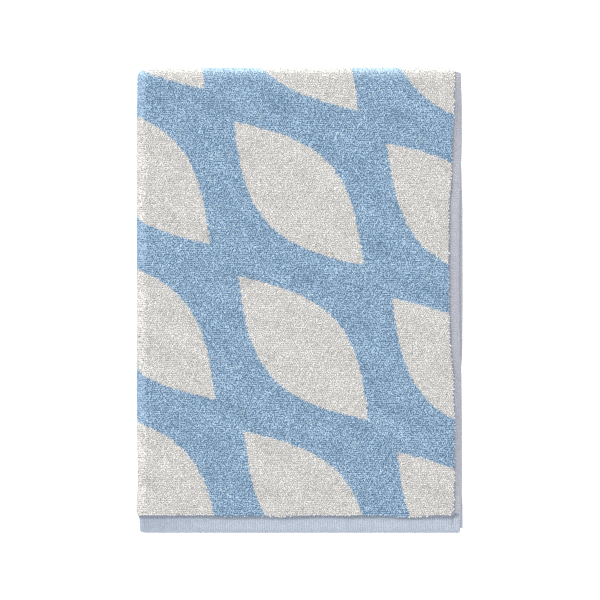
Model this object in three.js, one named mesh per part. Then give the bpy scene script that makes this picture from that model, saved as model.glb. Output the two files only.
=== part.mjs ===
// A cotton terry hand towel, cut 500 by 700 mm, folded in quarters and lying flat.
// It is one cloth. Its length is folded in half first, which makes the fold at +Y. The two layers
// are then folded in half across, round the thick fold at -X. The four flat-woven selvedges end at
// +X and the four flat-woven end hems at -Y. They are thinner than the pile cloth, so they sink
// together there. Millimetres, +Z up, resting on Z = 0 with the origin under the middle.
import * as THREE from 'three';

// The folded towel and its cloth
const FOLDED_WIDTH = 246;
const FOLDED_LENGTH = 350;
const TERRY_THICK = 4.4;
const HEM_THICK = 1.4; // at its woven end, where it is pressed the most
const END_HEM = 13.2; // depth of the flat hem at each end of the cloth

// How the layers lie
const LAYER_GAP = 0.6; // between the two layers of a half
const HALF_GAP = 0.8; // between the two halves
const FOLD_REACH = 0.8; // a fold stands out by this share of a half circle
const PRESSED = 0.55; // share of the height that is left where the thin edges lie on each other
const SINK_FROM = 15; // distance from the open edges, inward of the pile's edge, where it starts
// How much of the sinking is done in the pile, in the step at the pile's edge, and on the hem
const SINK_SHARES = { pile: 0.14, step: 0.38, hem: 0.48 };
const STEP_WIDTH = 1.4;
const SUNK_BEFORE_END = 1; // the sinking is done this far before the hems end
const WAVE_HEIGHT = 0.014; // lift of the top face's soft waves, as a share of the height
const WAVE_LENGTH = { x: 118, y: 151 };
const WAVE_SHIFT = { x: 0.8, y: -0.5 };
const FOLD_SWELL = 0.022; // extra height beside the two folds
const SWELL_WIDTH = 24;

// Where the cloth is drawn in
// The left fold at the end hems, and the top fold at the selvedges: how much, at the pile and at the
// edge, and where it begins and how fast, as shares of the hem's width
const HEM_PULL = { inner: 0.9, outer: 1.7, before: 0.06, over: 0.08 };
const SELVEDGE_PULL = { inner: 1.8, outer: 2.4, before: 0.15, over: 0.25 };
const FOLD_CORNER = { pull: 2.4, width: 7 }; // both folds, where they meet
const PILE_CORNER = { pull: 1.3, width: 5 }; // the pile's own corner between the hems
const PILE_WANDER = [
  { reach: 0.45, length: 19 },
  { reach: 0.3, length: 7.3 },
];

const RIGHT = FOLDED_WIDTH / 2;
const LEFT = -RIGHT;
const TOP = FOLDED_LENGTH / 2;
const BOTTOM = -TOP;
const HALF_THICK = 2 * TERRY_THICK + LAYER_GAP;
const MIDDLE = HALF_THICK + HALF_GAP / 2; // height of the left fold's centre
const NOSE = HALF_THICK / 2; // radius of the top fold of each half
const FOLD_X = LEFT + MIDDLE * FOLD_REACH;
const NOSE_Y = TOP - NOSE * FOLD_REACH;
const HEM_THINNING = (TERRY_THICK - HEM_THICK / PRESSED) / 2;
const PILE_RIGHT = RIGHT - 7; // near where the pile ends, at its two hems
const PILE_BOTTOM = BOTTOM + END_HEM;

// How far in from its side each edge lies, at places down the towel: the pile's, the selvedge of
// the top layer and of the third, which shows past the top one halfway down, and the left fold
const EDGES = [
  { y: 172, pile: 6.6, top: 1.5, third: 2.1, fold: 0.9 },
  { y: 145, pile: 7.0, top: 0.8, third: 1.6, fold: 0.5 },
  { y: 120, pile: 8.2, top: 0.8, third: 1.4, fold: 0.3 },
  { y: 90, pile: 9.2, top: 1.6, third: 0.8, fold: 0.3 },
  { y: 68, pile: 10.9, top: 2.5, third: 0.1, fold: 0.4 },
  { y: 0, pile: 10.9, top: 2.7, third: 0.0, fold: 0.6 },
  { y: -32, pile: 9.8, top: 2.1, third: 0.2, fold: 0.4 },
  { y: -60, pile: 7.4, top: 1.0, third: 1.3, fold: 0.3 },
  { y: -90, pile: 6.8, top: 0.8, third: 1.5, fold: 0.5 },
  { y: -137, pile: 6.8, top: 0.7, third: 1.0, fold: 1.1 },
  { y: -158, pile: 7.2, top: 1.4, third: 0.1, fold: 0.1 },
  { y: -175, pile: 7.6, top: 2.2, third: 0.0, fold: 0.0 },
];
const SELVEDGE_END = { second: 1.9, bottom: 1.2, waver: 0.5, length: 31 };
// How far up from the lowest hem each layer's hem ends
const HEM_END = { top: 0, third: 3.8, second: 2.0, bottom: 1.1 };

// Places along a leg of the cloth, from its woven edge over the flat hem and on through the pile.
// A place lies by its share of the hem, by its share of the pile, or at a set distance inward of
// the hem's start, the pile's start or the last set distance. thin is 1 on the flat hem.
const PILE_REACH = 12;
const EDGE_STEPS = [
  { part: 'hem', share: 0, inward: 0, thin: 1.45 },
  { part: 'hem', share: 0, inward: 0.9, thin: 1 },
  { part: 'hem', share: 0.36, inward: 0, thin: 1 },
  { part: 'hem', share: 0.66, inward: 0, thin: 1 },
  { part: 'hem', share: 1, inward: -0.7, thin: 1 },
  { part: 'hem', share: 1, inward: 0.5, thin: 0.3 },
  { part: 'hem', share: 1, inward: 2.2, thin: 0 },
  { part: 'hem', share: 1, inward: 4.8, thin: 0 },
  { part: 'hem', share: 1, inward: 8, thin: 0 },
  { part: 'hem', share: 1, inward: PILE_REACH, thin: 0 },
];
const ACROSS_SHARES = [0.1, 0.25, 0.41, 0.57, 0.73, 0.87, 0.96, 1];
const ALONG_SHARES = [0.07, 0.17, 0.29, 0.41, 0.53, 0.65, 0.77, 0.88, 0.96, 1];
const FOLD_STEPS = 8;
const NOSE_STEPS = 6;

function mix(a, b, t) {
  return a + (b - a) * t;
}

function ease(t) {
  const held = Math.min(1, Math.max(0, t));
  return held * held * (3 - 2 * held);
}

// A column of the edges' table at this place, eased from row to row
function edgeInset(y, column) {
  let upper = EDGES[0];
  for (const lower of EDGES.slice(1)) {
    if (y >= lower.y) {
      return mix(lower[column], upper[column], ease((y - lower.y) / (upper.y - lower.y)));
    }
    upper = lower;
  }
  return upper[column];
}

// How far the pile reaches to the right at this place down the towel
function pileRight(y) {
  const rounded = ease((PILE_BOTTOM + PILE_CORNER.width - y) / PILE_CORNER.width);
  return RIGHT - edgeInset(y, 'pile') - PILE_CORNER.pull * rounded;
}

// How far down the pile reaches at this place across the towel
function pileBottom(x) {
  const rounded = ease((x - PILE_RIGHT + PILE_CORNER.width) / PILE_CORNER.width);
  let y = PILE_BOTTOM + PILE_CORNER.pull * rounded;
  for (const { reach, length } of PILE_WANDER) {
    y += reach * Math.sin(x / length);
  }
  return y;
}

// Where a layer's selvedge ends
function selvedgeEnd(a, b, y) {
  const waver = SELVEDGE_END.waver * Math.sin(y / SELVEDGE_END.length);
  const lower = mix(SELVEDGE_END.bottom + waver, SELVEDGE_END.second - waver, b.turn);
  const upper = mix(edgeInset(y, 'top'), edgeInset(y, 'third'), b.turn);
  return RIGHT - mix(lower, upper, a.turn);
}

// Where a layer's end hem ends
function hemEnd(a, b) {
  const outer = mix(HEM_END.bottom, HEM_END.top, a.turn);
  const inner = mix(HEM_END.second, HEM_END.third, a.turn);
  return BOTTOM + mix(outer, inner, b.turn);
}

// Stations of one direction: up a leg from its edge, round the bend, and back along the other leg.
// turn is 0 on the first leg, 1 on the second, and between them round the bend.
function stations(shares, bendSteps) {
  const leg = [
    ...EDGE_STEPS,
    ...shares.map((share) => ({ part: 'pile', share, thin: 0 })),
  ];
  const bend = [];
  for (let k = 1; k < bendSteps; k += 1) {
    bend.push({ part: 'bend', thin: 0, turn: k / bendSteps });
  }
  return [
    ...leg.map((step) => ({ ...step, turn: 0 })),
    ...bend,
    ...leg.map((step) => ({ ...step, turn: 1 })).reverse(),
  ];
}

// Where a leg's station lies, given where the woven edge, the pile and the leg end
function legPlace(step, end, pile, centre) {
  const inward = Math.sign(centre - end);
  if (step.part === 'hem') {
    return mix(end, pile, step.share) + inward * step.inward;
  }
  return mix(pile + inward * PILE_REACH, centre, step.share);
}

function acrossPlace(a, b, y, radius) {
  if (a.part === 'bend') {
    return FOLD_X - FOLD_REACH * radius * Math.sin(Math.PI * a.turn);
  }
  return legPlace(a, selvedgeEnd(a, b, y), pileRight(y), FOLD_X);
}

function alongPlace(a, b, x, radius) {
  if (b.part === 'bend') {
    return NOSE_Y + FOLD_REACH * radius * Math.sin(Math.PI * b.turn);
  }
  return legPlace(b, hemEnd(a, b), pileBottom(x), NOSE_Y);
}

// How much a hem draws a fold in, at a share of the way over the hem
function hemPull(pull, share) {
  return ease((share + pull.before) / pull.over) * mix(pull.inner, pull.outer, share);
}

// Draws in the left fold at the hems, the top fold at the selvedges, and both at their corner
function drawnIn(x, y) {
  const beyondFold = Math.max(0, FOLD_X - x) / (FOLD_X - LEFT);
  const beyondNose = Math.max(0, y - NOSE_Y) / (TOP - NOSE_Y);
  const downHem = (PILE_BOTTOM - y) / END_HEM;
  const overSelvedge = (x - PILE_RIGHT) / (RIGHT - PILE_RIGHT);
  let pullX = edgeInset(y, 'fold') + hemPull(HEM_PULL, downHem);
  pullX += FOLD_CORNER.pull * ease((y - TOP + FOLD_CORNER.width) / FOLD_CORNER.width);
  let pullY = hemPull(SELVEDGE_PULL, overSelvedge);
  pullY += FOLD_CORNER.pull * ease((LEFT + FOLD_CORNER.width - x) / FOLD_CORNER.width);
  return { x: x + pullX * beyondFold, y: y - pullY * beyondNose };
}

// How far the layers have sunk, from 0 to 1, at a distance out past the pile's edge
function sunk(past, hemWidth) {
  const inPile = ease((past + SINK_FROM) / SINK_FROM);
  const inStep = ease(past / STEP_WIDTH + 0.5);
  const onHem = ease(past / (hemWidth - SUNK_BEFORE_END));
  return SINK_SHARES.pile * inPile + SINK_SHARES.step * inStep + SINK_SHARES.hem * onHem;
}

// Height after the thin edges have sunk and the top face has its soft waves
function settledHeight(x, y, z) {
  const right = pileRight(y);
  const bottom = pileBottom(x);
  const level = (1 - sunk(x - right, RIGHT - right)) * (1 - sunk(bottom - y, bottom - BOTTOM));
  const waves = Math.sin(x / WAVE_LENGTH.x * 2 * Math.PI + WAVE_SHIFT.x)
    * Math.cos(y / WAVE_LENGTH.y * 2 * Math.PI + WAVE_SHIFT.y);
  const besideLeft = ease((LEFT + SWELL_WIDTH - x) / SWELL_WIDTH);
  const besideTop = ease((y - TOP + SWELL_WIDTH) / SWELL_WIDTH);
  const lift = WAVE_HEIGHT * (waves - 1) + FOLD_SWELL * Math.max(besideLeft, besideTop);
  return z * mix(PRESSED, 1 + lift, level);
}

// A point of the cloth: a is its station across the width, b along the length, and the face is
// outer (the patterned face, which shows on top and underneath) or inner
function clothPoint(a, b, isOuter) {
  const thinned = Math.max(a.thin, b.thin) * HEM_THINNING;
  const noseRadius = isOuter ? NOSE - thinned : LAYER_GAP / 2 + thinned;
  const depth = NOSE - noseRadius * Math.cos(Math.PI * b.turn);
  const foldRadius = MIDDLE - depth;
  const nearX = acrossPlace(a, b, 0, foldRadius);
  const y = alongPlace(a, b, nearX, noseRadius);
  const x = acrossPlace(a, b, y, foldRadius);
  const z = MIDDLE - foldRadius * Math.cos(Math.PI * a.turn);
  const place = drawnIn(x, y);
  return new THREE.Vector3(place.x, place.y, settledHeight(place.x, place.y, z));
}

// The cloth as a closed body: two faces of stations, joined round the rim
function foldedCloth() {
  const across = stations(ACROSS_SHARES, FOLD_STEPS);
  const along = stations(ALONG_SHARES, NOSE_STEPS);
  const columns = across.length;
  const rows = along.length;
  const points = [];
  for (const isOuter of [true, false]) {
    for (const a of across) {
      for (const b of along) {
        points.push(clothPoint(a, b, isOuter));
      }
    }
  }
  const outer = (i, j) => i * rows + j;
  const inner = (i, j) => (columns + i) * rows + j;
  const faces = [];
  const quad = (p, q, r, s) => {
    faces.push(p, q, r, p, r, s);
  };
  for (let i = 0; i + 1 < columns; i += 1) {
    for (let j = 0; j + 1 < rows; j += 1) {
      quad(outer(i, j), outer(i + 1, j), outer(i + 1, j + 1), outer(i, j + 1));
      quad(inner(i, j), inner(i, j + 1), inner(i + 1, j + 1), inner(i + 1, j));
    }
  }
  for (let i = 0; i + 1 < columns; i += 1) {
    quad(outer(i, 0), inner(i, 0), inner(i + 1, 0), outer(i + 1, 0));
    const last = rows - 1;
    quad(outer(i, last), outer(i + 1, last), inner(i + 1, last), inner(i, last));
  }
  for (let j = 0; j + 1 < rows; j += 1) {
    quad(outer(0, j), outer(0, j + 1), inner(0, j + 1), inner(0, j));
    const last = columns - 1;
    quad(outer(last, j), inner(last, j), inner(last, j + 1), outer(last, j + 1));
  }
  const geometry = new THREE.BufferGeometry().setFromPoints(points);
  geometry.setIndex(faces);
  return geometry;
}

// Centres the cloth over the origin and rests it on Z = 0
function seated(geometry) {
  geometry.computeBoundingBox();
  const box = geometry.boundingBox;
  const middle = box.getCenter(new THREE.Vector3());
  geometry.translate(-middle.x, -middle.y, -box.min.z);
  geometry.computeVertexNormals();
  return geometry;
}

const terryCotton = new THREE.MeshStandardMaterial({
  color: 0x90aecb,
  roughness: 0.95,
  metalness: 0,
});

const towel = new THREE.Mesh(seated(foldedCloth()), terryCotton);
towel.name = 'towel';

const handTowel = new THREE.Group();
handTowel.add(towel);

export default handTowel;
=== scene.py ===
import math

import bpy
import numpy as np
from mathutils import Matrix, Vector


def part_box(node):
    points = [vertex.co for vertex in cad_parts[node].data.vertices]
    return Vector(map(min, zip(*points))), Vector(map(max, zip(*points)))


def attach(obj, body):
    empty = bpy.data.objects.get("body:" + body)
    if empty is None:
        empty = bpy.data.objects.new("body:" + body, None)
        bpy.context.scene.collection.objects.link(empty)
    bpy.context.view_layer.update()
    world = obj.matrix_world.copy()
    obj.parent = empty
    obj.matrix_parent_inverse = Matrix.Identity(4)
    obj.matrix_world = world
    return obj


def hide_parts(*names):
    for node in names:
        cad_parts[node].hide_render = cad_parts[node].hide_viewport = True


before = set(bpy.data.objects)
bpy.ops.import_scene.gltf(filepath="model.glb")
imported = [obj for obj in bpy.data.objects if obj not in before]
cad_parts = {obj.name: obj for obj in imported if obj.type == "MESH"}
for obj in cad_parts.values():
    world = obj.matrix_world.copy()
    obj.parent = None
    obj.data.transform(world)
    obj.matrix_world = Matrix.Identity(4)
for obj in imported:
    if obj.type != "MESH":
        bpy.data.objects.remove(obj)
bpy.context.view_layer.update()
box_low, box_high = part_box("towel")

MM = 0.001

# The cloth and how its layers lie, as in the frame's solid
FOLDED_WIDTH = 246 * MM
TERRY_THICK = 4.4 * MM
HEM_THICK = 1.4 * MM
END_HEM = 13.2 * MM
LAYER_GAP = 0.6 * MM
HALF_GAP = 0.8 * MM
FOLD_REACH = 0.8  # a fold stands out by this share of a half circle
PRESSED = 0.55  # share of the height left where the thin edges lie on each other
SINK_FROM = 15 * MM  # the pile starts to sink this far before its edge
SINK_SHARES = {"pile": 0.14, "step": 0.38, "hem": 0.48}
SUNK_BEFORE_END = 1 * MM  # the sinking is done this far before the hems end
STEP_WIDTH = 1.4 * MM
WAVE_HEIGHT = 0.014  # of the top face's soft waves, as a share of the towel's height
WAVE_LENGTH = {"x": 118 * MM, "y": 151 * MM}
WAVE_SHIFT = {"x": 0.8, "y": -0.5}
FOLD_SWELL = 0.022  # how much higher the towel is beside its folds, as such a share
SWELL_WIDTH = 24 * MM
# How far the hems draw the two folds in, and how far the folds and the pile are cut back at a corner
HEM_PULL = {"inner": 0.9 * MM, "outer": 1.7 * MM, "before": 0.06, "over": 0.08}
SELVEDGE_PULL = {"inner": 1.8 * MM, "outer": 2.4 * MM, "before": 0.15, "over": 0.25}
FOLD_CORNER = {"pull": 2.4 * MM, "width": 7 * MM}
PILE_CORNER = {"pull": 1.3 * MM, "width": 5 * MM}

RIGHT = box_high.x
LEFT = RIGHT - FOLDED_WIDTH
TOP = box_high.y
BOTTOM = box_low.y
HALF_THICK = 2 * TERRY_THICK + LAYER_GAP
MIDDLE = HALF_THICK + HALF_GAP / 2
NOSE = HALF_THICK / 2
FOLD_X = LEFT + MIDDLE * FOLD_REACH
NOSE_Y = TOP - NOSE * FOLD_REACH
HEM_THINNING = (TERRY_THICK - HEM_THICK / PRESSED) / 2
HEM_HALF = TERRY_THICK / 2 - HEM_THINNING
PILE_RIGHT = RIGHT - 7 * MM
PILE_BOTTOM = BOTTOM + END_HEM
PILE_REACH = 12 * MM  # how far in from its edge the woven ground is even
PILE_WANDER = [  # reach and length of the lower pile edge's bends
    (0.45 * MM, 19 * MM),
    (0.3 * MM, 7.3 * MM),
]

# How far in from its side each edge lies, at places down the towel, in millimetres
EDGE_COLUMNS = ("y", "pile", "top", "third", "fold")
EDGE_ROWS = [
    (172, 6.6, 1.5, 2.1, 0.9),
    (145, 7.0, 0.8, 1.6, 0.5),
    (120, 8.2, 0.8, 1.4, 0.3),
    (90, 9.2, 1.6, 0.8, 0.3),
    (68, 10.9, 2.5, 0.1, 0.4),
    (0, 10.9, 2.7, 0.0, 0.6),
    (-32, 9.8, 2.1, 0.2, 0.4),
    (-60, 7.4, 1.0, 1.3, 0.3),
    (-90, 6.8, 0.8, 1.5, 0.5),
    (-137, 6.8, 0.7, 1.0, 1.1),
    (-158, 7.2, 1.4, 0.1, 0.1),
    (-175, 7.6, 2.2, 0.0, 0.0),
]
EDGES = {name: np.array(values) * MM for name, values in zip(EDGE_COLUMNS, zip(*EDGE_ROWS))}
SELVEDGE_END = {"second": 1.9 * MM, "bottom": 1.2 * MM, "waver": 0.5 * MM, "length": 31 * MM}
HEM_END = {"top": 0.0, "third": 3.8 * MM, "second": 2.0 * MM, "bottom": 1.1 * MM}

# Lengths round the two folds, on the outside of the cloth
FOLD_ARC = math.pi * MIDDLE * math.sqrt((1 + FOLD_REACH**2) / 2)
NOSE_ARC = math.pi * NOSE * math.sqrt((1 + FOLD_REACH**2) / 2)

# The pile: ground cloth below its tips, and loops that stand on the ground
GROUND_DEPTH = 1.6 * MM
LOOP_PITCH = {"seen": 1.4 * MM, "under": 3.2 * MM, "inside": 2.3 * MM}  # from loop to loop
LOOP_OFFSET = 0.25  # each row is set off by this share of the pitch, and the next one back by it
LOOP_SHAKEN = 0.18  # how far at most a loop stands from its row's even places, in pitches
LOOP_SPAN = (0.6 * MM, 1.0 * MM)  # from foot to foot
LOOP_YARN = (0.7 * MM, 0.86 * MM)  # from the yarn's middle to its corners
LOOP_TONE = 0.14  # how much the loops differ in tone
LOOP_HEIGHT = (0.84, 1.16)  # as shares of the pile's height
LOOP_SHOULDER = 0.9  # where the two bends at a loop's top lie, as a share of its height
LOOP_TILT = 0.14  # how much one bend is higher than the other, as a share of its height
LOOP_BURIED = 0.5 * MM  # how far the ends of the yarn go down into the ground
LOOP_LEAN = 0.3  # how far the loops lean, as a share of the pile's height
LOOP_STRAY = 0.33  # how far they lean out of line with each other, as a share of that
LOOP_BEND = {"out": 1.15, "lean": 0.8, "up": 0.75, "aside": 0.66}  # a bend's place and direction
YARN_CORNERS = {"down": 0.5, "aside": 0.87}  # the lower two corners of its three-sided section
NAP = {"lean": 0.5, "length": 46 * MM, "turns": 1.7, "short_length": 17 * MM}
TONE_PATCHES = {"depth": 0.12, "length": 30 * MM}
EDGE_LEAN = 0.6 * MM  # how far the outermost loops lean out over the hems
EDGE_WIDTH = 2.4 * MM
EDGE_CLEAR = 0.45 * MM  # no loop stands nearer to the pile's edge
FOLD_FLUFF = 0.9 * MM  # how much further the loops reach where a fold spreads them
FOLD_YARN = 1.25  # how much thicker the yarn is there, where it opens
FOLD_LEVEL = 0.35  # how light its foot is there, as the light gets in between the loops
# Painted light: the pile is painted lighter towards the top fold and darker, as painted shade, at the
# left one
# Near both folds the painted shade on the ground between the loops is lifted
TOP_FOLD_PAINTED_LIGHT = {"reach": 10 * MM, "tone": 0.5, "ground": 0.7}
LEFT_FOLD_PAINTED_LIGHT = {"reach": 6 * MM, "tone": -0.22, "ground": 0.5}
INSIDE_REACH = 7 * MM  # how far in between the layers loops stand
MOST_LOOPS = 15500  # in one piece
SOME_AXIS = (0.13, 1.0, 0.21)  # the loops' headings are measured from it

# What the random places, sizes and patches start from
SEEDS = {"places": 7, "nap": 11, "short_nap": 12, "patches": 13, "loops": 21, "ribs": 31}
RIPPLE = {"waves": 5, "stretch": (0.7, 1.5)}

# The leaf shapes of the pattern, in slanting rows that are half a repeat out of step
LEAF_SLANT = math.radians(48)
LEAF_LENGTH = 146 * MM
LEAF_WIDTH = 64 * MM
LEAF_REPEAT = {"run": 178 * MM, "rows": 150 * MM}  # along a row, and over two rows
LEAF_SHIFT = {"run": 20 * MM, "rows": 30 * MM}
RAGGED = 0.35 * MM  # how far the loops of one colour stray into the other

# Threads that wrap the flat hems: how far apart, half their width, how far their middle stands out
# and how deep they lie
HEM_RIB = {"pitch": 1.32 * MM, "half": 0.5 * MM, "proud": 0.3 * MM, "sunk": 0.04 * MM}
SELVEDGE_RIB = {"pitch": 1.25 * MM, "half": 0.5 * MM, "proud": 0.12 * MM, "sunk": 0.04 * MM}
RIB_CLEAR = 3.2 * MM  # the corner that the threads of both hems leave free

# Painted shade on the hems: how much the end hems darken towards the left fold, and the selvedges
# down the towel, at places in millimetres
HEM_PAINTED_SHADE = {"depth": 0.45, "reach": 78 * MM}
SELVEDGE_PAINTED_SHADE_COLUMNS = ("y", "depth")
SELVEDGE_PAINTED_SHADE_ROWS = [
    (-150, 0.2),
    (-124, 0.5),
    (-90, 0.75),
    (-57, 0.55),
    (-30, 0.35),
    (30, 0.25),
    (90, 0.05),
    (124, 0.4),
    (147, 0.7),
    (170, 0.0),
]
SELVEDGE_PAINTED_SHADE = dict(zip(SELVEDGE_PAINTED_SHADE_COLUMNS, np.array(SELVEDGE_PAINTED_SHADE_ROWS).T))


def linear(red, green, blue):
    """A colour given as 0 to 255 display values, as the linear values that shaders take."""
    values = [channel / 255 for channel in (red, green, blue)]
    return tuple(v / 12.92 if v <= 0.04045 else ((v + 0.055) / 1.055) ** 2.4 for v in values)


BLUE = {"deep": linear(114, 144, 171), "mid": linear(168, 197, 221), "tip": linear(214, 237, 251)}
WHITE = {"deep": linear(190, 188, 185), "mid": linear(229, 227, 223), "tip": linear(248, 246, 242)}
FOOT_SHADE = (0.66, 0.69, 0.74)  # painted shade: how much darker the colour is made at a loop's foot, down between the loops
# The ground's dye between the loops, darkened with painted shade
GROUND_BLUE_AND_SHADE = linear(87, 117, 148)
GROUND_WHITE_AND_SHADE = linear(183, 183, 184)
# The flat hems' own colours, each with a darker colour used for painted shade
HEM_COLOUR = linear(184, 194, 208)
HEM_SHADED = linear(134, 145, 162)
SELVEDGE_COLOUR = linear(179, 181, 191)
SELVEDGE_SHADED = linear(138, 142, 156)


def mix(a, b, t):
    return a + (b - a) * t


def ease(t):
    held = np.clip(t, 0, 1)
    return held * held * (3 - 2 * held)


def ripple(x, y, length, seed):
    """A smooth field from -1 to 1 that varies over about this length, the same for each seed."""
    rng = np.random.default_rng(seed)
    waves = RIPPLE["waves"]
    angles = rng.uniform(0, math.tau, waves)
    phases = rng.uniform(0, math.tau, waves)
    stretches = rng.uniform(*RIPPLE["stretch"], waves)
    total = 0.0
    for angle, phase, stretch in zip(angles, phases, stretches):
        along = x * math.cos(angle) + y * math.sin(angle)
        total = total + np.sin(along * math.tau / (length * stretch) + phase)
    return total / waves


# The folded form


def edge_inset(y, column):
    """How far in an edge lies at this place down the towel, eased between the table's rows."""
    places, values = EDGES["y"], EDGES[column]
    at = np.clip(y, places[-1], places[0])
    lower = np.clip(np.searchsorted(-places, -at, side="right"), 1, len(places) - 1)
    share = (at - places[lower]) / (places[lower - 1] - places[lower])
    return mix(values[lower], values[lower - 1], ease(share))


def pile_right(y):
    """How far the pile reaches to the right at this place down the towel."""
    width = PILE_CORNER["width"]
    rounded = ease((PILE_BOTTOM + width - y) / width)
    return RIGHT - edge_inset(y, "pile") - PILE_CORNER["pull"] * rounded


def pile_bottom(x):
    """How far down the pile reaches at this place across the towel."""
    width = PILE_CORNER["width"]
    wandering = sum(reach * np.sin(x / length) for reach, length in PILE_WANDER)
    rounded = ease((x - PILE_RIGHT + width) / width)
    return PILE_BOTTOM + wandering + PILE_CORNER["pull"] * rounded


def selvedge_end(turn_a, turn_b, y):
    """Where a layer's selvedge ends."""
    waver = SELVEDGE_END["waver"] * np.sin(y / SELVEDGE_END["length"])
    lower = mix(SELVEDGE_END["bottom"] + waver, SELVEDGE_END["second"] - waver, turn_b)
    upper = mix(edge_inset(y, "top"), edge_inset(y, "third"), turn_b)
    return RIGHT - mix(lower, upper, turn_a)


def hem_end(turn_a, turn_b):
    """Where a layer's end hem ends."""
    outer = mix(HEM_END["bottom"], HEM_END["top"], turn_a)
    inner = mix(HEM_END["second"], HEM_END["third"], turn_a)
    return BOTTOM + mix(outer, inner, turn_b)


def hem_pull(pull, share):
    """How far the hems draw a fold in, at a share of the way out over them."""
    return ease((share + pull["before"]) / pull["over"]) * mix(pull["inner"], pull["outer"], share)


def drawn_in(x, y):
    """Draws in the left fold at the hems, the top fold at the selvedges, and both at their corner."""
    beyond_fold = np.maximum(0, FOLD_X - x) / (FOLD_X - LEFT)
    beyond_nose = np.maximum(0, y - NOSE_Y) / (TOP - NOSE_Y)
    down_hem = (PILE_BOTTOM - y) / END_HEM
    over_selvedge = (x - PILE_RIGHT) / (RIGHT - PILE_RIGHT)
    width = FOLD_CORNER["width"]
    pull_x = edge_inset(y, "fold") + FOLD_CORNER["pull"] * ease((y - TOP + width) / width)
    pull_x = pull_x + hem_pull(HEM_PULL, down_hem)
    pull_y = FOLD_CORNER["pull"] * ease((LEFT + width - x) / width)
    pull_y = pull_y + hem_pull(SELVEDGE_PULL, over_selvedge)
    return x + pull_x * beyond_fold, y - pull_y * beyond_nose


def sunk(past, hem_width):
    """How far the layers have sunk, from 0 to 1, at a distance out past the pile's edge."""
    in_pile = ease((past + SINK_FROM) / SINK_FROM)
    in_step = ease(past / STEP_WIDTH + 0.5)
    on_hem = ease(past / (hem_width - SUNK_BEFORE_END))
    shares = SINK_SHARES
    return shares["pile"] * in_pile + shares["step"] * in_step + shares["hem"] * on_hem


def settled_height(x, y, z):
    """The height after the thin edges have sunk, with the top face's soft waves."""
    right, bottom = pile_right(y), pile_bottom(x)
    level = (1 - sunk(x - right, RIGHT - right)) * (1 - sunk(bottom - y, bottom - BOTTOM))
    waves = np.sin(x / WAVE_LENGTH["x"] * math.tau + WAVE_SHIFT["x"])
    waves = waves * np.cos(y / WAVE_LENGTH["y"] * math.tau + WAVE_SHIFT["y"])
    beside_left = ease((LEFT + SWELL_WIDTH - x) / SWELL_WIDTH)
    beside_top = ease((y - TOP + SWELL_WIDTH) / SWELL_WIDTH)
    lift = WAVE_HEIGHT * (waves - 1) + FOLD_SWELL * np.maximum(beside_left, beside_top)
    return z * mix(PRESSED, 1 + lift, level)


def cloth_point(turn_a, x, turn_b, y, depth):
    """A point of the folded cloth. turn_a runs from 0 on the lower leg to 1 on the upper one, round
    the left fold, and turn_b from 0 on the outer layer to 1 on the inner one, round the top fold.
    x and y hold the legs' places and the folds' centres. depth is from the patterned face."""
    nose_radius = NOSE - depth
    radius = MIDDLE - NOSE + nose_radius * np.cos(np.pi * turn_b)
    far_x = x - FOLD_REACH * radius * np.sin(np.pi * turn_a)
    far_y = y + FOLD_REACH * nose_radius * np.sin(np.pi * turn_b)
    height = MIDDLE - radius * np.cos(np.pi * turn_a)
    far_x, far_y = drawn_in(far_x, far_y)
    return np.stack([far_x, far_y, settled_height(far_x, far_y, height)], axis=-1)


def place_of(across, along):
    """The turns and places of points given on the flat cloth: across from the left fold's middle,
    positive on the upper half, and along from the top fold's middle, positive on the outer layers."""
    turn_a = np.clip(0.5 + across / FOLD_ARC, 0, 1)
    turn_b = np.clip(0.5 - along / NOSE_ARC, 0, 1)
    x = FOLD_X + np.maximum(np.abs(across) - FOLD_ARC / 2, 0)
    y = NOSE_Y - np.maximum(np.abs(along) - NOSE_ARC / 2, 0)
    return turn_a, x, turn_b, y


def flat_place(turn_a, x, turn_b, y):
    """The other way round: where on the flat cloth a point lies."""
    across = (2 * turn_a - 1) * (x - FOLD_X + FOLD_ARC / 2)
    along = (1 - 2 * turn_b) * (NOSE_Y - y + NOSE_ARC / 2)
    return across, along


def fold_nearness(points):
    """How near points lie to the top fold and to the left fold, from 0 to 1 at its outside."""
    near_top = ease(1 - (TOP - points[..., 1]) / TOP_FOLD_PAINTED_LIGHT["reach"])
    near_left = ease(1 - (points[..., 0] - LEFT) / LEFT_FOLD_PAINTED_LIGHT["reach"])
    return near_top, near_left


def from_nearest(value, repeat):
    """How far a value is from the nearest whole number of repeats."""
    return np.abs((value + repeat / 2) % repeat - repeat / 2)


def on_leaf(across, along):
    """True where a place of the patterned face lies on an off-white leaf shape."""
    cosine, sine = math.cos(LEAF_SLANT), math.sin(LEAF_SLANT)
    run = from_nearest(across * cosine + along * sine + LEAF_SHIFT["run"], LEAF_REPEAT["run"])
    off = from_nearest(along * cosine - across * sine + LEAF_SHIFT["rows"], LEAF_REPEAT["rows"])
    in_row = LEAF_WIDTH / 2 * np.cos(run * math.pi / LEAF_LENGTH) > off
    run, off = LEAF_REPEAT["run"] / 2 - run, LEAF_REPEAT["rows"] / 2 - off
    in_next_row = LEAF_WIDTH / 2 * np.cos(run * math.pi / LEAF_LENGTH) > off
    return in_row | in_next_row


# Mesh helpers


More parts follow.
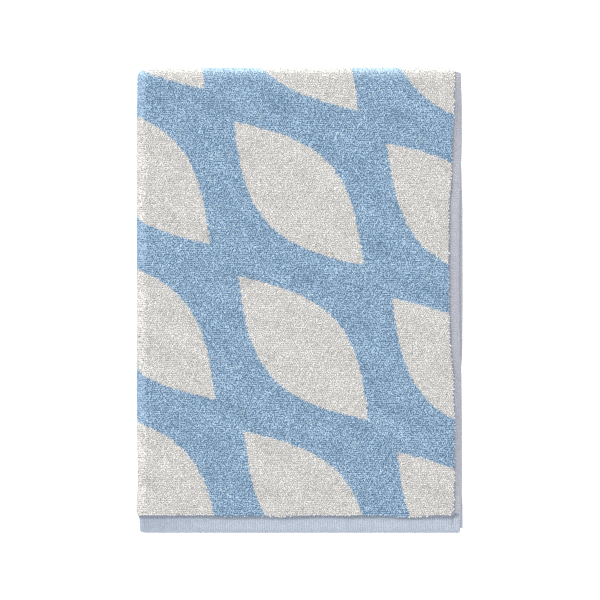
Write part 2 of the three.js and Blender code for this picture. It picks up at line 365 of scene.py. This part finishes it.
def mesh_piece(name, points, corners, sizes, values, uvs):
    """A smooth-shaded mesh from flat arrays: points, each face's corners, each face's number of
    corners, values to keep on the points by name, and a place on the bake map for each corner."""
    mesh = bpy.data.meshes.new(name)
    mesh.vertices.add(len(points))
    mesh.vertices.foreach_set("co", np.ascontiguousarray(points, np.float32).ravel())
    mesh.loops.add(len(corners))
    mesh.loops.foreach_set("vertex_index", np.ascontiguousarray(corners, np.int32).ravel())
    mesh.polygons.add(len(sizes))
    starts = np.concatenate([[0], np.cumsum(sizes)[:-1]])
    mesh.polygons.foreach_set("loop_start", starts.astype(np.int32))
    mesh.polygons.foreach_set("use_smooth", np.ones(len(sizes), bool))
    for key, value in values.items():
        attribute = mesh.attributes.new(key, "FLOAT", "POINT")
        attribute.data.foreach_set("value", np.ascontiguousarray(value, np.float32).ravel())
    layer = mesh.uv_layers.new(name="OFBake")
    layer.data.foreach_set("uv", np.ascontiguousarray(uvs, np.float32).ravel())
    mesh.update(calc_edges=True)
    piece = bpy.data.objects.new(name, mesh)
    bpy.context.scene.collection.objects.link(piece)
    return piece


# The woven ground and hems

CLOTH_EDGE_STEPS = [
    # share of the hem, distance inward in mm, how flat-woven, extra thinning in mm
    (0.0, 0.0, 1.0, 0.55),
    (0.0, 0.3, 1.0, 0.2),
    (0.0, 0.9, 1.0, 0.0),
    (0.25, 0.0, 1.0, 0.0),
    (0.5, 0.0, 1.0, 0.0),
    (0.75, 0.0, 1.0, 0.0),
    (1.0, -0.5, 1.0, 0.0),
    (1.0, 0.2, 0.6, 0.0),
    (1.0, 1.4, 0.0, 0.0),
    (1.0, 3.2, 0.0, 0.0),
    (1.0, 5.6, 0.0, 0.0),
    (1.0, 8.6, 0.0, 0.0),
    (1.0, 12.0, 0.0, 0.0),
]
CLOTH_STEPS = {"across": 34, "along": 48, "fold": 16, "nose": 12}


def cloth_stations(pile_steps, bend_steps):
    """Stations up a leg from its woven edge, round the bend and back: each a row of turn, share of
    the hem, distance inward, share of the pile, how flat-woven, and extra thinning."""
    leg = [(share, inward * MM, 0.0, flat, thin * MM) for share, inward, flat, thin in CLOTH_EDGE_STEPS]
    for k in range(1, pile_steps + 1):
        leg.append((1.0, PILE_REACH, k / pile_steps, 0.0, 0.0))
    bend = [(k / bend_steps, 1.0, PILE_REACH, 1.0, 0.0, 0.0) for k in range(1, bend_steps)]
    first = [(0.0, *step) for step in leg]
    second = [(1.0, *step) for step in reversed(leg)]
    return np.array(first + bend + second).T


def cloth_grid():
    """Every station of the cloth's two directions, as two-way arrays."""
    turn_a, hem_a, inward_a, pile_a, flat_a, thin_a = (
        row[:, None] for row in cloth_stations(CLOTH_STEPS["across"], CLOTH_STEPS["fold"])
    )
    turn_b, hem_b, inward_b, pile_b, flat_b, thin_b = (
        row[None, :] for row in cloth_stations(CLOTH_STEPS["along"], CLOTH_STEPS["nose"])
    )

    def x_at(y):
        edge = mix(selvedge_end(turn_a, turn_b, y), pile_right(y), hem_a)
        return mix(edge - inward_a, FOLD_X, pile_a)

    def y_at(x):
        edge = mix(hem_end(turn_a, turn_b), pile_bottom(x), hem_b)
        return mix(edge + inward_b, NOSE_Y, pile_b)

    y = y_at(x_at(0.0))
    x = x_at(y)
    flat = np.maximum(flat_a, flat_b)
    thin = np.maximum(thin_a, thin_b)
    depth = mix(GROUND_DEPTH, HEM_THINNING, flat) + thin
    side = np.where(flat_b > 0.5, 0.0, 1.0) * np.ones_like(flat)
    return np.broadcast_arrays(turn_a, x, turn_b, y, depth, flat, side)


CLOTH_MAP = {"wide": 0.49, "high": 0.98, "margin": 0.005, "back": 0.5}  # each face has half the map


def sheet_faces(columns, rows):
    """Four corners for each face of a closed sheet: its front, its back and its rim. The points of
    the front come first, then those of the back."""
    index = np.arange(columns * rows).reshape(columns, rows)
    a, b, c, d = index[:-1, :-1], index[1:, :-1], index[1:, 1:], index[:-1, 1:]
    back = columns * rows
    quads = [np.stack([a, b, c, d], -1).reshape(-1, 4), np.stack([a, d, c, b], -1).reshape(-1, 4) + back]
    for rim in (index[:, 0], index[-1, :], index[::-1, -1], index[0, ::-1]):
        near, far = rim[:-1], rim[1:]
        quads.append(np.stack([near, near + back, far + back, far], -1))
    return np.concatenate(quads)


def sheet_map(across, along):
    """Places on the bake map for the points of the cloth's front, then of its back."""
    flat_across = (across - across.min()) / np.ptp(across)
    flat_along = (along - along.min()) / np.ptp(along)
    front = np.stack([flat_across.ravel(), flat_along.ravel()], -1)
    front = front * (CLOTH_MAP["wide"], CLOTH_MAP["high"]) + CLOTH_MAP["margin"]
    return np.concatenate([front, front + (CLOTH_MAP["back"], 0.0)])


def woven_cloth():
    """The closed sheet of ground cloth and hems, between its patterned face and its back."""
    turn_a, x, turn_b, y, depth, flat, side = cloth_grid()
    front = cloth_point(turn_a, x, turn_b, y, depth)
    back = cloth_point(turn_a, x, turn_b, y, TERRY_THICK - depth)
    points = np.concatenate([face.reshape(-1, 3) for face in (front, back)])
    across, along = flat_place(turn_a, x, turn_b, y)
    # bend: how much of the ground's painted shade is lifted, round the folds and near the top fold
    bend = np.maximum(LEFT_FOLD_PAINTED_LIGHT["ground"] * np.sin(np.pi * turn_a), np.sin(np.pi * turn_b))
    bend = np.maximum(bend, TOP_FOLD_PAINTED_LIGHT["ground"] * fold_nearness(front)[0])
    kept = {"across": across, "along": along, "flat": flat, "side": side, "bend": bend}
    values = {key: np.tile(value.ravel(), 2) for key, value in kept.items()}
    values["back"] = np.repeat((0.0, 1.0), x.size)
    quads = sheet_faces(*x.shape)
    corners = quads.ravel()
    uv = sheet_map(across, along)[corners]
    return mesh_piece("towel_cloth", points, corners, np.full(len(quads), 4), values, uv)


# The threads that wrap the hems

# Painted shade darkens the threads at the hem's rolled tip and at the pile's foot, where the pile's
# shadow falls
RIB_STEPS = [
    # share of the hem, distance inward in mm, thinning in mm, depth of painted shade: up a face from the
    # tip
    (0.0, -0.06, 0.95, 1.0),
    (0.0, 0.12, 0.35, 0.9),
    (0.0, 0.9, 0.0, 0.35),
    (0.25, 0.0, 0.0, 0.0),
    (0.5, 0.0, 0.0, 0.0),
    (0.68, 0.0, 0.0, 0.0),
    (0.84, 0.0, 0.0, 0.8),
    (1.0, 0.4, 0.0, 1.0),
]
SHORT_RIB = 4  # steps of a rib that goes no further than just round the edge


def rib_path(front_steps, back_steps):
    """Steps of a thread from the patterned face round the edge to the back: rows of share of the
    hem, distance inward, place in the thickness from -1 on the front to 1 on the back, and shade."""
    front, back = (
        [(share, inward * MM, way * (1 - thin * MM / HEM_HALF), shade)
         for share, inward, thin, shade in RIB_STEPS[:count]]
        for way, count in ((-1, front_steps), (1, back_steps))
    )
    return np.array(front[::-1] + back).T


def rib_run(run, rib, along_side):
    """Points of the threads of one run, three to each step, and how shaded they are. A run has the
    turn that is the same all along it, where it starts and ends on the flat cloth, and how many
    steps its threads have on the front and on the back."""
    turn, first, last, front_steps, back_steps = run
    share, inward, place, shade = (row[None, :, None] for row in rib_path(front_steps, back_steps))
    count = round((last - first) / rib["pitch"])
    middles = first + (np.arange(count) + 0.5) * (last - first) / count
    spot = middles[:, None, None] + np.array([-rib["half"], 0.0, rib["half"]])
    raised = np.array([0.0, rib["proud"], 0.0]) - rib["sunk"]
    out = raised * (1 - np.abs(place))
    if along_side:
        turn_a = turn
        turn_b, y = place_of(0.0, spot)[2:]
        x = mix(selvedge_end(turn_a, turn_b, y), pile_right(y), share) - inward + out
        # painted shade down the selvedge, from its table
        hem_painted_shade = np.interp(y, SELVEDGE_PAINTED_SHADE["y"] * MM, SELVEDGE_PAINTED_SHADE["depth"])
    else:
        turn_b = turn
        turn_a, x = place_of(spot, 0.0)[:2]
        y = mix(hem_end(turn_a, turn_b), pile_bottom(x), share) + inward - out
        # painted shade on the end hem, growing towards the left fold
        hem_painted_shade = HEM_PAINTED_SHADE["depth"] * ease((LEFT + HEM_PAINTED_SHADE["reach"] - x) / HEM_PAINTED_SHADE["reach"])
    depth = TERRY_THICK / 2 + place * (HEM_HALF + raised)
    turn_a, x, turn_b, y, depth, shade = np.broadcast_arrays(
        turn_a, x, turn_b, y, depth, np.maximum(shade, hem_painted_shade)
    )
    points = cloth_point(turn_a, x, turn_b, y, depth)
    points[..., 2] = np.maximum(points[..., 2], box_low.z)
    return points, shade


def rib_template(steps):
    """Faces of one thread with three corners to each step, closed at both ends."""
    corners, sizes = [0, 1, 2], [3]
    for step in range(steps - 1):
        low, high = 3 * step, 3 * step + 3
        for k in range(3):
            nxt = (k + 1) % 3
            corners += [low + k, high + k, high + nxt, low + nxt]
            sizes.append(4)
    last = 3 * (steps - 1)
    corners += [last, last + 2, last + 1]
    sizes.append(3)
    return np.array(corners), np.array(sizes)


def rib_piece(name, runs, rib, along_side):
    """Threads side by side that wrap one kind of edge, made from several runs."""
    points, shades, corners, sizes = [], [], [], []
    total = 0
    for run in runs:
        path, shade = rib_run(run, rib, along_side)
        count, steps = path.shape[:2]
        faces, face_sizes = rib_template(steps)
        points.append(path.reshape(-1, 3))
        shades.append(shade.ravel())
        corners.append((faces[None] + 3 * steps * np.arange(count)[:, None]).ravel() + total)
        sizes.append(np.tile(face_sizes, count))
        total += count * steps * 3
    points, shades, corners, sizes = (np.concatenate(rows) for rows in (points, shades, corners, sizes))
    shown = points[corners]
    uv = np.stack([shown[:, 0] - LEFT, shown[:, 1] - BOTTOM], -1) / (TOP - BOTTOM)
    tone = np.repeat(np.random.default_rng(SEEDS["ribs"]).uniform(0, 1, len(points) // 3), 3)
    return mesh_piece(name, points, corners, sizes, {"tone": tone, "shade": shades}, uv)


def rib_pieces():
    """The threads of the end hems and of the selvedges, round both folds and on all four layers."""
    full, short = len(RIB_STEPS), SHORT_RIB
    across = RIGHT - FOLD_X + FOLD_ARC / 2 - RIB_CLEAR
    along = NOSE_Y - BOTTOM + NOSE_ARC / 2 - RIB_CLEAR
    end_runs = [(0, -across, across, full, short), (1, -across, across, short, short)]
    side_runs = [
        (half, first, last, front, short)
        for half in (0, 1)
        for first, last, front in ((-NOSE_ARC / 2, along, full), (-along, -NOSE_ARC / 2, short))
    ]
    return [
        rib_piece("end_hem_ribs", end_runs, HEM_RIB, False),
        rib_piece("selvedge_ribs", side_runs, SELVEDGE_RIB, True),
    ]


# The loops of the pile


def scattered(low, high, pitch, rng):
    """Places over a rectangle of the flat cloth, in staggered rows that are shaken out of line."""
    counts = [max(1, round((end - start) / pitch)) for start, end in zip(low, high)]
    grid = np.meshgrid(*(np.arange(count) for count in counts), indexing="ij")
    shaken = [g + 0.5 + rng.uniform(-LOOP_SHAKEN, LOOP_SHAKEN, g.shape) for g in grid]
    shaken[0] += np.where(grid[1] % 2 == 0, -LOOP_OFFSET, LOOP_OFFSET)
    return [
        (start + steps * (end - start) / count).ravel()
        for start, end, steps, count in zip(low, high, shaken, counts)
    ]


def pile_margins(across, along):
    """How far inside the pile's right and bottom edges a place of the flat cloth lies."""
    x, y = place_of(across, along)[1::2]
    return pile_right(y) - x, y - pile_bottom(x)


def nap_lean(across, along, east, north, rng):
    """Which way and how far each loop leans: in the nap's soft swirls, and a little its own way."""
    count = len(across)
    nap = ripple(across, along, NAP["length"], SEEDS["nap"]) * NAP["turns"]
    nap = nap + ripple(across, along, NAP["short_length"], SEEDS["short_nap"])
    way = (nap * math.pi)[:, None]
    return (
        NAP["lean"] * (east * np.cos(way) + north * np.sin(way))
        + east * rng.normal(0, LOOP_STRAY, (count, 1))
        + north * rng.normal(0, LOOP_STRAY, (count, 1))
    )


def yarn_loop(foot, up, run, lean, lift, half, yarn, tilt):
    """Points of bent beads of yarn: an end in the ground, the three corners of each of two bends,
    and the other end."""
    aside = np.cross(up, run)

    def ring(middle, turned_up, size):
        lower = middle - turned_up * (YARN_CORNERS["down"] * size)
        corner = aside * (YARN_CORNERS["aside"] * size)
        return [middle + turned_up * size, lower + corner, lower - corner]

    def bend(way):
        middle = foot + way * run * half * LOOP_BEND["out"] + up * (shoulder + way * tilt)
        turned_up = up * LOOP_BEND["up"] + way * run * LOOP_BEND["aside"]
        return ring(middle + lean * LOOP_BEND["lean"], turned_up, yarn)

    shoulder = LOOP_SHOULDER * lift - yarn
    first_end, last_end = (foot + way * run * half - up * LOOP_BURIED for way in (-1, 1))
    return np.stack([first_end, *bend(-1), *bend(1), last_end], axis=1)


def standing_loops(across, along, front, rng):
    """Loops of yarn at these places: their points, and each point's tone and level for the shader.
    The tone is the whole loop's, and the level is 1 but for its ends in the ground."""
    turn_a, x, turn_b, y = place_of(across, along)
    ground, tips = (GROUND_DEPTH, 0.0) if front else (TERRY_THICK - GROUND_DEPTH, TERRY_THICK)
    foot = cloth_point(turn_a, x, turn_b, y, ground)
    rise = cloth_point(turn_a, x, turn_b, y, tips) - foot
    height = np.linalg.norm(rise, axis=-1, keepdims=True)
    up = rise / height
    count = len(x)
    east = np.cross(up, np.array(SOME_AXIS))
    east /= np.linalg.norm(east, axis=-1, keepdims=True)
    north = np.cross(up, east)
    heading = rng.uniform(0, math.tau, count)[:, None]
    run = east * np.cos(heading) + north * np.sin(heading)

    lean = LOOP_LEAN * height * nap_lean(across, along, east, north, rng)
    side_edge, end_edge = (ease(1 - margin / EDGE_WIDTH) for margin in pile_margins(across, along))
    lean = lean + EDGE_LEAN * np.stack([side_edge, -end_edge, np.zeros(count)], -1)
    lift = height * rng.uniform(*LOOP_HEIGHT, (count, 1))
    half = rng.uniform(*LOOP_SPAN, (count, 1)) / 2
    yarn = rng.uniform(*LOOP_YARN, (count, 1))
    tilt = rng.normal(0, LOOP_TILT, (count, 1)) * lift
    round_fold = np.maximum(np.sin(np.pi * turn_a), np.sin(np.pi * turn_b))
    lift = lift + FOLD_FLUFF * round_fold[:, None]
    yarn = yarn * mix(1, FOLD_YARN, round_fold)[:, None]
    points = yarn_loop(foot, up, run, lean, lift, half, yarn, tilt)
    points[..., 2] = np.maximum(points[..., 2], box_low.z)

    patches = TONE_PATCHES["depth"] * ripple(across, along, TONE_PATCHES["length"], SEEDS["patches"])
    tone = rng.normal(0.5, LOOP_TONE, count) + patches
    # painted light: loops lighter near the top fold, and darker near the left fold as painted shade
    near_top, near_left = fold_nearness(foot)
    tone = np.clip(tone + TOP_FOLD_PAINTED_LIGHT["tone"] * near_top + LEFT_FOLD_PAINTED_LIGHT["tone"] * near_left, 0, 1)
    # painted shade at each loop's foot: its level is 0 at the ends, lifted round the folds and near the
    # top fold
    level = np.ones(points.shape[:2])
    level[:, 0] = level[:, -1] = FOLD_LEVEL * np.maximum(round_fold, near_top)
    return points, np.repeat(tone[:, None], points.shape[1], 1), level


def loop_template():
    """Faces of one loop, as corner indices, face sizes and places on its own square of the map."""
    corners, sizes, places = [], [], []
    low, high, last = 1, 4, 7
    for k in range(3):
        nxt = (k + 1) % 3
        left, middle, right = k / 3, (k + 0.5) / 3, (k + 1) / 3
        corners += [0, low + k, low + nxt]
        places += [(middle, 0.0), (left, 1 / 3), (right, 1 / 3)]
        corners += [low + k, high + k, high + nxt, low + nxt]
        places += [(left, 1 / 3), (left, 2 / 3), (right, 2 / 3), (right, 1 / 3)]
        corners += [last, high + nxt, high + k]
        places += [(middle, 1.0), (right, 2 / 3), (left, 2 / 3)]
        sizes += [3, 4, 3]
    return np.array(corners), np.array(sizes), np.array(places)


LOOP_MAP = {"margin": 0.08, "wide": 0.84}  # where a loop's faces lie in its own square of the map


def pile_piece(name, points, tone, level):
    """One piece of pile from the points of many loops."""
    count, per_loop = points.shape[:2]
    corners, sizes, places = loop_template()
    all_corners = corners[None] + per_loop * np.arange(count)[:, None]
    cells = math.ceil(math.sqrt(count))
    origin = np.stack([np.arange(count) % cells, np.arange(count) // cells], -1)
    uv = (origin[:, None] + LOOP_MAP["margin"] + LOOP_MAP["wide"] * places[None]) / cells
    return mesh_piece(
        name,
        points.reshape(-1, 3),
        all_corners.ravel(),
        np.tile(sizes, count),
        {"tone": tone, "level": level},
        uv.reshape(-1, 2),
    )


def pile_places():
    """Where loops stand: a name, the places on the flat cloth, and if it is the patterned face."""
    rng = np.random.default_rng(SEEDS["places"])
    half_a, half_b = FOLD_ARC / 2, NOSE_ARC / 2
    reach_a = RIGHT - FOLD_X + half_a
    reach_b = NOSE_Y - BOTTOM + half_b
    into_gap = -half_b - INSIDE_REACH
    areas = [
        ("seen", (-half_a, into_gap), (reach_a, reach_b)),
        ("seen", (-reach_a, into_gap), (-half_a, half_b)),
        ("under", (-reach_a, half_b), (-half_a, reach_b)),
    ]
    found = [(name, scattered(low, high, LOOP_PITCH[name], rng), True) for name, low, high in areas]
    for front, high_b in ((True, into_gap), (False, reach_b)):
        low, high = (-reach_a, -reach_b), (reach_a, high_b)
        across, along = scattered(low, high, LOOP_PITCH["inside"], rng)
        near_edge = np.minimum(*pile_margins(across, along)) < INSIDE_REACH
        near_edge &= (np.abs(across) > half_a) & (np.abs(along) > half_b)
        found.append(("inside", (across[near_edge], along[near_edge]), front))
    return found


def pile_groups():
    """Loops by where they stand and their colour: a list of points, tones and levels for each."""
    rng = np.random.default_rng(SEEDS["loops"])
    groups = {}
    for where, (across, along), front in pile_places():
        kept = np.minimum(*pile_margins(across, along)) > EDGE_CLEAR
        across, along = across[kept], along[kept]
        strayed = rng.normal(0, RAGGED, (2, len(across)))
        white = on_leaf(across + strayed[0], along + strayed[1])
        white = white if front else ~white
        for colour, chosen in (("white", white), ("blue", ~white)):
            loops = standing_loops(across[chosen], along[chosen], front, rng)
            groups.setdefault((where, colour), []).append(loops)
    return groups


def pile_pieces():
    """Every piece of pile, with its colour's name."""
    made = []
    for (where, colour), parts in pile_groups().items():
        joined = [np.concatenate(values) for values in zip(*parts)]
        count = len(joined[0])
        pieces = math.ceil(count / MOST_LOOPS)
        for k in range(pieces):
            chosen = slice(k * count // pieces, (k + 1) * count // pieces)
            name = f"pile_{colour}_{where}_{k + 1}"
            made.append((pile_piece(name, *(value[chosen] for value in joined)), colour))
    return made


# Materials

# Fine noise on the yarn for its fibres, with painted shade in its dark dips: its scale, the range
# that it is brought to, and the most that is let through
FIBRE_GRAIN_AND_SHADE = {"scale": 1250, "low": 0.1, "high": 2.0, "most": 1.04}


def new_material(name, roughness, sheen):
    """A matt material, with its nodes, their links and its shader."""
    material = bpy.data.materials.new(name)
    material.use_nodes = True
    nodes, links = material.node_tree.nodes, material.node_tree.links
    shader = nodes["Principled BSDF"]
    shader.inputs["Roughness"].default_value = roughness
    shader.inputs["Specular IOR Level"].default_value = 0.25
    shader.inputs["Sheen Weight"].default_value = sheen
    shader.inputs["Sheen Roughness"].default_value = 0.5
    return material, nodes, links, shader


def value_of(nodes, name):
    """A value kept on the mesh's points."""
    node = nodes.new("ShaderNodeAttribute")
    node.attribute_name = name
    return node.outputs["Fac"]


def blended(nodes, links, factor, first, second, mode="MIX"):
    """Two colours, each a socket or a value, mixed by a socket or a number."""
    node = nodes.new("ShaderNodeMix")
    node.data_type = "RGBA"
    node.blend_type = mode
    for socket, value in zip((node.inputs[0], node.inputs[6], node.inputs[7]), (factor, first, second)):
        if isinstance(value, bpy.types.NodeSocket):
            links.new(value, socket)
        elif isinstance(value, tuple):
            socket.default_value = (*value, 1.0)
        else:
            socket.default_value = value
    return node.outputs[2]


def noise(nodes, links, scale, detail):
    """Noise on the object's own coordinates."""
    place = nodes.new("ShaderNodeTexCoord")
    node = nodes.new("ShaderNodeTexNoise")
    node.inputs["Scale"].default_value = scale
    node.inputs["Detail"].default_value = detail
    links.new(place.outputs["Object"], node.inputs["Vector"])
    return node.outputs["Fac"]


def maths(nodes, links, operation, *values):
    """One step of arithmetic on sockets and numbers."""
    node = nodes.new("ShaderNodeMath")
    node.operation = operation
    for socket, value in zip(node.inputs, values):
        if isinstance(value, bpy.types.NodeSocket):
            links.new(value, socket)
        else:
            socket.default_value = value
    return node.outputs[0]


def spread(nodes, links, value, low, high):
    """A value from 0 to 1, brought to the range from low to high."""
    return maths(nodes, links, "MULTIPLY_ADD", value, high - low, low)


def soft_patches(nodes, links, low, high):
    """Soft lighter and darker patches some millimetres across, from low to high."""
    return spread(nodes, links, noise(nodes, links, scale=160, detail=3.0), low, high)


def bump(nodes, links, shader, height, strength, distance):
    """A rough surface from a height."""
    node = nodes.new("ShaderNodeBump")
    node.inputs["Strength"].default_value = strength
    node.inputs["Distance"].default_value = distance
    links.new(height, node.inputs["Height"])
    links.new(node.outputs["Normal"], shader.inputs["Normal"])


def pile_material(name, colours):
    """Loop pile: each loop has its own tone, painted shade darkens the yarn towards its foot, and the
    fibres show as fine noise, with dark dips of painted shade and no bright peaks."""
    material, nodes, links, shader = new_material(name, roughness=0.92, sheen=0.1)
    ramp = nodes.new("ShaderNodeValToRGB")
    ramp.color_ramp.elements[0].color = (*colours["deep"], 1)
    ramp.color_ramp.elements[1].color = (*colours["tip"], 1)
    middle = ramp.color_ramp.elements.new(0.5)
    middle.color = (*colours["mid"], 1)
    links.new(value_of(nodes, "tone"), ramp.inputs["Fac"])
    # painted shade at a loop's foot, where its level is 0
    deep = blended(nodes, links, 1.0, ramp.outputs["Color"], FOOT_SHADE, "MULTIPLY")
    colour = blended(nodes, links, value_of(nodes, "level"), deep, ramp.outputs["Color"])
    # fibre grain, with painted shade between the fibres in its dark dips
    fibres = noise(nodes, links, FIBRE_GRAIN_AND_SHADE["scale"], detail=1.0)
    fibres = spread(nodes, links, fibres, FIBRE_GRAIN_AND_SHADE["low"], FIBRE_GRAIN_AND_SHADE["high"])
    fibres = maths(nodes, links, "MINIMUM", fibres, FIBRE_GRAIN_AND_SHADE["most"])
    colour = blended(nodes, links, 1.0, colour, fibres, "MULTIPLY")
    links.new(colour, shader.inputs["Base Color"])
    fuzz = noise(nodes, links, scale=3800, detail=1.0)
    bump(nodes, links, shader, fuzz, strength=0.35, distance=0.15 * MM)
    return material


def leaf_mask(nodes, links):
    """1 on the leaf shapes and 0 off them, as on_leaf has it, the other way round on the back."""

    def step(operation, *values):
        return maths(nodes, links, operation, *values)

    def inside(run, off):
        bow = step("COSINE", step("MULTIPLY", run, math.pi / LEAF_LENGTH))
        return step("GREATER_THAN", step("MULTIPLY", bow, LEAF_WIDTH / 2), off)

    across, along = value_of(nodes, "across"), value_of(nodes, "along")
    cosine, sine = math.cos(LEAF_SLANT), math.sin(LEAF_SLANT)
    half_run, half_rows = LEAF_REPEAT["run"] / 2, LEAF_REPEAT["rows"] / 2
    run = step("ADD", step("MULTIPLY", across, cosine), step("MULTIPLY", along, sine))
    run = step("PINGPONG", step("ADD", run, LEAF_SHIFT["run"]), half_run)
    off = step("SUBTRACT", step("MULTIPLY", along, cosine), step("MULTIPLY", across, sine))
    off = step("PINGPONG", step("ADD", off, LEAF_SHIFT["rows"]), half_rows)
    in_next_row = inside(step("SUBTRACT", half_run, run), step("SUBTRACT", half_rows, off))
    leaf = step("MAXIMUM", inside(run, off), in_next_row)
    return step("ABSOLUTE", step("SUBTRACT", leaf, value_of(nodes, "back")))


def hem_colour(nodes, links):
    """The pale weave under the hems' threads, in the end hems' tone or the selvedges', in patches."""
    hem = blended(nodes, links, value_of(nodes, "side"), HEM_COLOUR, SELVEDGE_COLOUR)
    return blended(nodes, links, 1.0, hem, soft_patches(nodes, links, 0.6, 0.8), "MULTIPLY")


def cloth_material():
    """The ground weave under the pile, dyed as the pile is and darkened with painted shade, which is
    lifted where the folds open it, and the pale flat weave of the hems."""
    material, nodes, links, shader = new_material("woven_cotton", roughness=0.85, sheen=0.2)
    leaf = leaf_mask(nodes, links)
    # the ground's dye, darkened with painted shade between the loops, and its colour without that shade
    # where the folds open it
    under = blended(nodes, links, leaf, GROUND_BLUE_AND_SHADE, GROUND_WHITE_AND_SHADE)
    opened = blended(nodes, links, leaf, BLUE["mid"], WHITE["mid"])
    under = blended(nodes, links, value_of(nodes, "bend"), under, opened)
    colour = blended(nodes, links, value_of(nodes, "flat"), under, hem_colour(nodes, links))
    links.new(colour, shader.inputs["Base Color"])
    weave = noise(nodes, links, scale=1700, detail=2.0)
    bump(nodes, links, shader, weave, strength=0.4, distance=0.2 * MM)
    return material


def rib_material(name, colour, shaded):
    """The threads round a hem: its colour, lighter and darker from thread to thread, and painted shade
    in a deeper colour at the pile's foot, at the edge and where the hems are painted darker."""
    material, nodes, links, shader = new_material(name, roughness=0.8, sheen=0.2)
    tone = spread(nodes, links, value_of(nodes, "tone"), 0.96, 1.06)
    uneven = maths(nodes, links, "MULTIPLY", tone, soft_patches(nodes, links, 0.92, 1.08))
    colour = blended(nodes, links, 1.0, colour, uneven, "MULTIPLY")
    colour = blended(nodes, links, value_of(nodes, "shade"), colour, shaded)
    links.new(colour, shader.inputs["Base Color"])
    fibres = noise(nodes, links, scale=2600, detail=1.0)
    bump(nodes, links, shader, fibres, strength=0.2, distance=0.1 * MM)
    return material


# Stage, light and camera

FLOOR = {"flat": 2.6, "curve": 0.9, "rim": 1.3, "sides": 96, "steps": 12}  # sizes in metres
FLOOR_COLOUR = (0.9, 0.9, 0.9)
FLOOR_GLOW = 0.5
WORLD_LIGHT = 0.28
LIGHTS = {
    "key": {"place": (-0.85, 1.1, 1.9), "size": 0.5, "power": 20},
    "overhead": {"place": (0.1, -0.1, 2.1), "size": 0.6, "power": 36},
}
VIEW_WIDTH = 452.6 * MM  # how much the camera takes in, at the towel's half height
VIEW_SHIFT_Y = 0.57 * MM  # how far the view's middle lies up from the towel's
LENS = 135.0
SENSOR = 36.0


def floor_shape():
    """Points and faces of a round floor that curves up at its rim."""
    turns = [k / FLOOR["steps"] * math.pi / 2 for k in range(FLOOR["steps"] + 1)]
    profile = [
        (FLOOR["flat"] + FLOOR["curve"] * math.sin(turn), FLOOR["curve"] * (1 - math.cos(turn)))
        for turn in turns
    ]
    profile.append((FLOOR["flat"] + FLOOR["curve"], FLOOR["rim"]))
    sides = FLOOR["sides"]
    points = [(0, 0, 0)]
    for radius, height in profile:
        for k in range(sides):
            angle = k * math.tau / sides
            points.append((radius * math.cos(angle), radius * math.sin(angle), height))
    faces = [(0, 1 + k, 1 + (k + 1) % sides) for k in range(sides)]
    for row in range(len(profile) - 1):
        low, high = 1 + row * sides, 1 + (row + 1) * sides
        for k in range(sides):
            nxt = (k + 1) % sides
            faces.append((low + k, high + k, high + nxt, low + nxt))
    return points, faces


def make_floor():
    """A pale floor that curves up all round, bright enough to hold almost no shadow."""
    points, faces = floor_shape()
    mesh = bpy.data.meshes.new("floor")
    mesh.from_pydata(points, [], faces)
    mesh.polygons.foreach_set("use_smooth", np.ones(len(faces), bool))
    floor = bpy.data.objects.new("floor", mesh)
    bpy.context.scene.collection.objects.link(floor)
    material, *_, shader = new_material("pale_floor", roughness=0.95, sheen=0.0)
    shader.inputs["Base Color"].default_value = (*FLOOR_COLOUR, 1)
    shader.inputs["Emission Color"].default_value = (1, 1, 1, 1)
    shader.inputs["Emission Strength"].default_value = FLOOR_GLOW
    material.cycles.emission_sampling = "NONE"
    mesh.materials.append(material)


def make_light(name, place, size, power):
    """A square soft box that faces the towel."""
    light = bpy.data.lights.new(name, "AREA")
    light.shape = "SQUARE"
    light.size = size
    light.energy = power
    lamp = bpy.data.objects.new(name, light)
    lamp.location = place
    away = np.array(place) / np.linalg.norm(place)
    lamp.rotation_euler = (math.acos(away[2]), 0, math.atan2(away[0], -away[1]))
    bpy.context.scene.collection.objects.link(lamp)


def make_world():
    """Even light from all round."""
    world = bpy.data.worlds.new("studio")
    world.use_nodes = True
    back = world.node_tree.nodes["Background"]
    back.inputs["Color"].default_value = (1, 1, 1, 1)
    back.inputs["Strength"].default_value = WORLD_LIGHT
    world.cycles.sampling_method = "NONE"
    bpy.context.scene.world = world


def make_camera():
    """Straight above the towel, with a long lens."""
    data = bpy.data.cameras.new("camera")
    data.lens = LENS
    data.sensor_width = SENSOR
    data.clip_end = 50
    camera = bpy.data.objects.new("camera", data)
    distance = VIEW_WIDTH * LENS / SENSOR
    camera.location = (0, VIEW_SHIFT_Y, box_high.z / 2 + distance)
    bpy.context.scene.collection.objects.link(camera)
    bpy.context.scene.camera = camera


def dress_towel():
    """The cloth, its pile and its ribs, with their finishes, in place of the plain solid."""
    cloth = woven_cloth()
    cloth.data.materials.append(cloth_material())
    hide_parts("towel")
    finishes = {"blue": pile_material("blue_pile", BLUE), "white": pile_material("white_pile", WHITE)}
    pile = []
    for piece, colour in pile_pieces():
        piece.data.materials.append(finishes[colour])
        pile.append(piece)
    ribs = rib_pieces()
    for piece, colour, shaded in zip(ribs, (HEM_COLOUR, SELVEDGE_COLOUR), (HEM_SHADED, SELVEDGE_SHADED)):
        piece.data.materials.append(rib_material(piece.name, colour, shaded))
    for piece in [cloth, *pile, *ribs]:
        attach(piece, "root")


bpy.context.scene.view_settings.view_transform = "Standard"
bpy.context.scene.cycles.use_denoising = False  # it would smooth the pile's grain away
make_camera()
make_floor()
make_world()
for light_name, light_values in LIGHTS.items():
    make_light(light_name, **light_values)
dress_towel()
